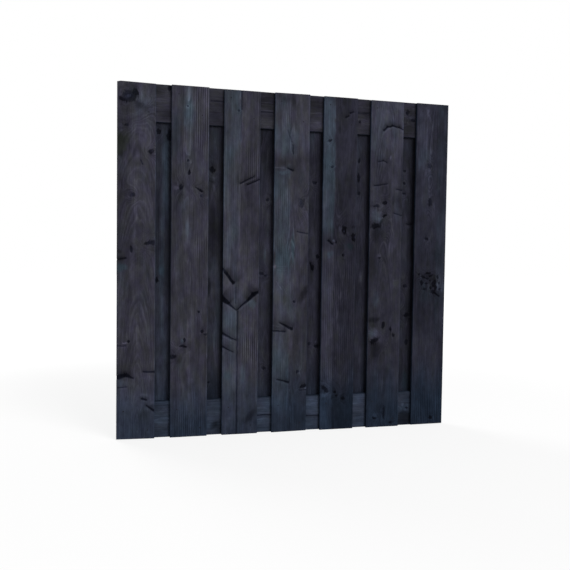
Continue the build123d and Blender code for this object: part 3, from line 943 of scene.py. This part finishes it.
# Nails: domed head and square shank, stained over with the boards
# head and shank: depth under the crown and radius, in millimetres
nail = {
    "colour": (0.012, 0.012, 0.016, 1.0),
    "bare": (0.024, 0.025, 0.032, 1.0),
    "blots": 420.0,  # noise a metre
    "bareFrom": (0.25, 0.75),
    "roughness": 0.7,
    "roughSpread": 0.15,
    "gloss": 0.05,
    "sides": 24,
    "head": ((0.0, 0.6), (0.05, 1.3), (0.18, 2.0), (0.40, 2.6), (0.68, 2.93), (0.88, 3.0), (1.0, 2.9)),
    "shank": ((1.0, 1.2), (26.0, 1.2), (30.0, 0.25)),
}


def nailSteel():  # stained dark, with blots of barer steel
    made, tree, shader = freshMaterial("stainedNail")
    blot = Wire.node(tree, "ShaderNodeTexCoord", {}, {}, "Object").noise(nail["blots"])
    blot.step(*nail["bareFrom"]).between(nail["colour"], nail["bare"]).into(shader, "Base Color")
    (nail["roughness"] + blot * nail["roughSpread"]).into(shader, "Roughness")
    shader.inputs["Specular IOR Level"].default_value = nail["gloss"]
    return made


def buildNails(node, steel):
    # rings of points along the nail's axis: circles for the head, squares for the shank
    low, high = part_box(node)
    front = low.y < -high.y  # the heads stand on the front or on the back
    turn = np.linspace(0, 2 * np.pi, nail["sides"], endpoint=False)
    square = 1 / np.maximum(np.abs(np.cos(turn)), np.abs(np.sin(turn)))
    rings = [(depth, radius * np.ones_like(turn)) for depth, radius in nail["head"]]
    rings += [(depth, radius * square) for depth, radius in nail["shank"]]
    one = np.stack([np.stack([form * np.cos(turn), np.full_like(turn, depth), form * np.sin(turn)], 1)
                    for depth, form in rings]) * mm
    reach = max(radius for depth, radius in nail["head"]) * mm
    middles = [(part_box(rail)[0].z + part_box(rail)[1].z) / 2 for rail in ("top_rail", "bottom_rail")]
    rise = high.z - reach - middles[0]
    left, right = low.x + reach, high.x - reach
    spots = [(x, z) for middle in middles for x, z in ((left, middle + rise), (right, middle - rise))]
    count, around = one.shape[:2]
    points, faces = [], []
    for number, (x, z) in enumerate(spots):
        y = low.y + one[..., 1] if front else high.y - one[..., 1]
        points.append(np.stack([x + one[..., 0], y, z + one[..., 2]], -1).reshape(-1, 3))
        offset = number * count * around
        faces += (loopFaces(count, around) + offset).tolist()
        faces += [np.arange(offset, offset + around).tolist(),
                  np.arange(offset + (count - 1) * around, offset + count * around).tolist()]
    mesh = bpy.data.meshes.new(node)
    mesh.from_pydata(np.concatenate(points).tolist(), [], faces)
    mesh.polygons.foreach_set("use_smooth", np.ones(len(faces), bool))
    finishMesh(mesh)
    addPiece(mesh, node, node + "_driven", [steel])


steel = nailSteel()
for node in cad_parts:
    if "nails" in node:
        buildNails(node, steel)
print("nails driven")

# White floor and surroundings; camera and mirror rays see plain white, the boards see a softer sky
studio = {
    "floorHalf": 30.0,
    "floorColour": (0.6, 0.6, 0.6, 1.0),
    "floorRoughness": 0.9,
    "whiteShare": 0.70,  # near the panel the rest is lit floor, which keeps the shadow
    "clearing": (1.6, 6.0),  # metres from the middle between which the floor turns plain white
    "white": (1.0, 1.0, 1.0, 1.0),
    "glow": 1.15,
    "sky": 0.30,
    "aim": (0.0, 0.0, 0.9),
    "key": {"place": (4.6, -9.2, 6.6), "size": 7.0, "watts": 1330.0},
    "fill": {"place": (-5.2, 9.0, 5.6), "size": 7.0, "watts": 900.0},  # for the back
}


def rayShare(tree):  # 1 where the ray comes from the camera, a mirror or glass
    outputs = tree.nodes.new("ShaderNodeLightPath").outputs
    camera = Wire(tree, outputs["Is Camera Ray"])
    mirror = Wire(tree, outputs["Is Glossy Ray"])
    glass = Wire(tree, outputs["Is Transmission Ray"])
    return camera.atLeast(mirror).atLeast(glass)


def floorMaterial():  # a mix of lit floor and plain glow, all glow from a distance on
    made, tree, shader = freshMaterial("studioFloor")
    shader.inputs["Base Color"].default_value = studio["floorColour"]
    shader.inputs["Roughness"].default_value = studio["floorRoughness"]
    shader.inputs["Specular IOR Level"].default_value = 0.0
    place = Wire.node(tree, "ShaderNodeTexCoord", {}, {}, "Object")
    away = place.make("ShaderNodeVectorMath", {"operation": "LENGTH"}, {0: place}, "Value")
    white = studio["whiteShare"] + away.step(*studio["clearing"]) * (1.0 - studio["whiteShare"])
    glow = Wire.node(tree, "ShaderNodeEmission", {}, {"Color": studio["white"], "Strength": studio["glow"]})
    mixed = Wire.node(tree, "ShaderNodeMixShader", {},
                      {0: rayShare(tree) * white, 1: Wire(tree, shader.outputs[0]), 2: glow})
    mixed.into(tree.nodes["Material Output"], "Surface")
    return made


half = studio["floorHalf"]
floorMesh = bpy.data.meshes.new("floor")
corners = [(-half, -half, 0), (half, -half, 0), (half, half, 0), (-half, half, 0)]
floorMesh.from_pydata(corners, [], [(0, 1, 2, 3)])
floor = bpy.data.objects.new("floor", floorMesh)
floor.data.materials.append(floorMaterial())
bpy.context.scene.collection.objects.link(floor)

world = bpy.data.worlds.new("studio")
world.use_nodes = True
bpy.context.scene.world = world
sky = world.node_tree.nodes["Background"]
sky.inputs["Color"].default_value = studio["white"]
(studio["sky"] + rayShare(world.node_tree) * (1.0 - studio["sky"])).into(sky, "Strength")


def stand(made, place, right, up, back):  # a lamp or camera on its place, with its own three axes
    axes = np.column_stack([right, up, back])
    made.matrix_world = Matrix.Translation(place) @ Matrix(axes.tolist()).to_4x4()
    bpy.context.scene.collection.objects.link(made)


def areaLamp(name):  # a disk that looks at the panel's middle
    lamp = studio[name]
    data = bpy.data.lights.new(name, "AREA")
    data.shape = "DISK"
    data.size = lamp["size"]
    data.energy = lamp["watts"]
    back = np.array(lamp["place"]) - np.array(studio["aim"])
    back = back / np.linalg.norm(back)
    right = np.cross((0, 0, 1), back)
    right = right / np.linalg.norm(right)
    stand(bpy.data.objects.new(name, data), lamp["place"], right, np.cross(back, right), back)


areaLamp("key")
areaLamp("fill")
print("studio lit")

# Camera, from the panel's corners in the photograph: metres, degrees, and focal length in pixels
view = {"place": (-0.897, -3.486, 0.934), "turn": 14.053, "tilt": -2.332, "roll": 0.756, "focal": 671.2,
        "frame": 570.0, "sensor": 36.0}


def photoCamera():  # turned right, then tilted, then rolled about its own line of sight
    turn, tilt, roll = np.radians([view["turn"], view["tilt"], view["roll"]])
    ahead = np.array([np.sin(turn) * np.cos(tilt), np.cos(turn) * np.cos(tilt), np.sin(tilt)])
    level = np.array([np.cos(turn), -np.sin(turn), 0.0])
    upright = np.cross(level, ahead)
    right = level * np.cos(roll) + upright * np.sin(roll)
    up = upright * np.cos(roll) - level * np.sin(roll)
    data = bpy.data.cameras.new("photoCamera")
    data.sensor_width = view["sensor"]
    data.lens = view["focal"] / view["frame"] * view["sensor"]
    camera = bpy.data.objects.new("photoCamera", data)
    stand(camera, view["place"], right, up, -ahead)
    bpy.context.scene.camera = camera


photoCamera()
bpy.context.scene.view_settings.view_transform = "Standard"
print("camera set")
